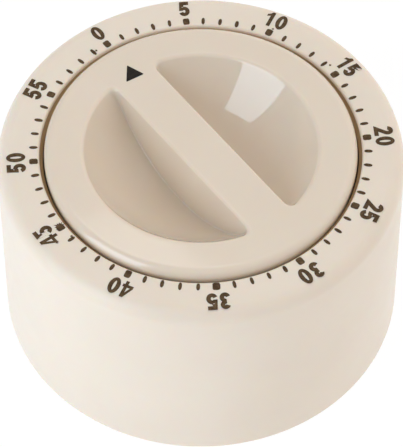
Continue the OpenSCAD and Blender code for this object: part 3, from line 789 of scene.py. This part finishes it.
def camera_axes():
    back = Vector((
        math.sin(AZIMUTH) * math.cos(ELEVATION),
        -math.cos(AZIMUTH) * math.cos(ELEVATION),
        math.sin(ELEVATION),
    ))
    right = Vector((math.cos(AZIMUTH), math.sin(AZIMUTH), 0))
    up = back.cross(right)
    c, s = math.cos(ROLL), math.sin(ROLL)
    return c * right + s * up, c * up - s * right, back


def place_camera():
    right, up, back = camera_axes()
    data = bpy.data.cameras.new("camera")
    data.sensor_width = SENSOR
    data.lens = LENS
    data.clip_start = 0.01
    camera = new_object("camera", data)
    dial_middle = Vector((0, 0, Z_DIAL * MM))
    place = dial_middle + DISTANCE * back - ASIDE * right - ABOVE * up
    turn = Matrix((right, up, back)).transposed().to_4x4()
    camera.matrix_world = Matrix.Translation(place) @ turn
    bpy.context.scene.camera = camera


def area_light(name, place, target, size, radiance, colour):
    """A rectangular light facing the target. If it faces straight down, its sides lie along X and Y."""
    data = bpy.data.lights.new(name, "AREA")
    data.shape = "RECTANGLE"
    data.size, data.size_y = size
    data.energy = radiance * math.pi * size[0] * size[1]
    data.color = colour
    light = new_object(name, data)
    back = (Vector(place) - Vector(target)).normalized()
    top = Vector((0, 1, 0)) if abs(back.z) > 0.99 else Vector((0, 0, 1))
    right = top.cross(back).normalized()
    turn = Matrix((right, back.cross(right), back)).transposed().to_4x4()
    light.matrix_world = Matrix.Translation(Vector(place)) @ turn
    return light


WINDOW_AWAY = 0.50                      # the window's plane from the object's middle
WINDOW_FACING = -159.5                  # direction of that plane, in degrees
WINDOW_SPAN = (-0.833, -0.017)          # its edges along the plane, and its top, as shares of the distance
WINDOW_TOP = 1.48
WINDOW_LIGHT = 3.05                     # radiance, where the white floor is about 1
WINDOW_COLOUR = (0.71, 0.85, 1.0)
FLOOR_HALF = 4000                       # half the floor's width, in millimetres
FLOOR_GAP = 0.02                        # keeps the floor just clear of the feet
FLOOR_GLOW = 0.9
SKY_COLOUR = (1.0, 0.985, 0.965, 1)
SKY_LOW = 0.26
SKY_RISE = 0.45
SKY_RIGHT = 0.75
CEILING_AT = (0.185, 0.42, 0.90)
CEILING_SIZE = (0.30, 0.24)
CEILING_LIGHT = 1.2
CEILING_COLOUR = (1.0, 0.98, 0.95)


def window_light():
    """A tall window to the left, its sill at floor level."""
    facing = math.radians(WINDOW_FACING)
    out = Vector((math.cos(facing), math.sin(facing), 0))
    along = Vector((out.y, -out.x, 0))
    width = (WINDOW_SPAN[1] - WINDOW_SPAN[0]) * WINDOW_AWAY
    height = WINDOW_TOP * WINDOW_AWAY
    middle = out * WINDOW_AWAY - along * (WINDOW_SPAN[0] + WINDOW_SPAN[1]) / 2 * WINDOW_AWAY
    middle.z = height / 2
    area_light("window", middle, middle - out, (width, height), WINDOW_LIGHT, WINDOW_COLOUR)


def studio_world():
    """A sky that brightens upwards, and to the right."""
    world = bpy.data.worlds.new("studio")
    world.use_nodes = True
    tree = world.node_tree
    background = tree.nodes["Background"]
    where = tree.nodes.new("ShaderNodeTexCoord")
    split = tree.nodes.new("ShaderNodeSeparateXYZ")
    tree.links.new(where.outputs["Generated"], split.inputs["Vector"])
    height = maths(tree, "MAXIMUM", split.outputs["Z"], 0.0)
    upward = maths(tree, "MULTIPLY", height, SKY_RISE)
    sideways = maths(tree, "MULTIPLY", soft_step(tree, split.outputs["X"], 0.0, 0.8), SKY_RIGHT)
    light = maths(tree, "ADD", maths(tree, "ADD", upward, sideways), SKY_LOW)
    background.inputs["Color"].default_value = SKY_COLOUR
    tree.links.new(light, background.inputs["Strength"])
    bpy.context.scene.world = world


def studio_floor():
    bm = bmesh.new()
    bmesh.ops.create_grid(bm, x_segments=1, y_segments=1, size=FLOOR_HALF)
    bmesh.ops.translate(bm, vec=(0, 0, -FLOOR_GAP), verts=bm.verts)
    floor = to_object("floor", bm, smooth=False)
    material = bpy.data.materials.new("floor_paper")
    tree, shader = nodes_of(material)
    tint = noise(tree, 8, 2)
    tree.links.new(ramp(tree, tint.outputs["Fac"], grey(0.12), grey(0.14)), shader.inputs["Base Color"])
    shader.inputs["Roughness"].default_value = 0.9
    shader.inputs["Specular IOR Level"].default_value = 0.0
    shader.inputs["Emission Color"].default_value = (1, 1, 1, 1)
    shader.inputs["Emission Strength"].default_value = FLOOR_GLOW
    floor.data.materials.append(material)


def build_studio():
    window_light()
    below = (CEILING_AT[0], CEILING_AT[1], 0.0)
    area_light("ceiling", CEILING_AT, below, CEILING_SIZE, CEILING_LIGHT, CEILING_COLOUR)
    studio_world()
    studio_floor()
    view = bpy.context.scene.view_settings
    view.view_transform = "Standard"
    view.look = "None"
    view.exposure = 0.0


# ---------------------------------------------------------------- the scene
place_camera()
# the casing's plastic carries painted shade in the groove round the knob
casing_plastic = moulded_plastic(
    "casing_plastic", light=(0.84, 0.735, 0.62), dark=(0.81, 0.705, 0.59), rough=(0.36, 0.48),
    grain=0.25, depth=0.0008, groove_shaded=True
)
knob_plastic = moulded_plastic(
    "knob_plastic", light=(0.785, 0.67, 0.545), dark=(0.76, 0.645, 0.52), rough=(0.05, 0.09),
    grain=0.03, depth=0.0006, coat=0.65
)
ink = printed_ink("dial_ink", (0.058, 0.030, 0.011), (0.150, 0.092, 0.044))
pointer_ink = printed_ink("pointer_ink", (0.010, 0.007, 0.005), (0.026, 0.018, 0.012))
dress({
    "casing_plastic": casing_plastic,
    "knob_plastic": knob_plastic,
    "dial_ink": ink,
    "foot_rubber": rubber_material("foot_rubber"),
    "screw_steel": metal("screw_steel", (0.62, 0.62, 0.63), (0.48, 0.48, 0.49), (0.22, 0.40)),
    "plate_steel": metal("plate_steel", (0.56, 0.57, 0.58), (0.42, 0.43, 0.44), (0.30, 0.50), 1400),
    "spring_steel": metal("spring_steel", (0.34, 0.36, 0.42), (0.22, 0.23, 0.28), (0.18, 0.32), 1800),
    "wheel_brass": metal("wheel_brass", (0.83, 0.63, 0.28), (0.66, 0.47, 0.19), (0.20, 0.38), 1600),
    "bell_steel": metal("bell_steel", (0.80, 0.81, 0.83), (0.66, 0.67, 0.69), (0.08, 0.20), 600, 0.06),
})
build_casing().data.materials.append(casing_plastic)
build_knob().data.materials.append(knob_plastic)
build_prints(ink, pointer_ink)
build_studio()
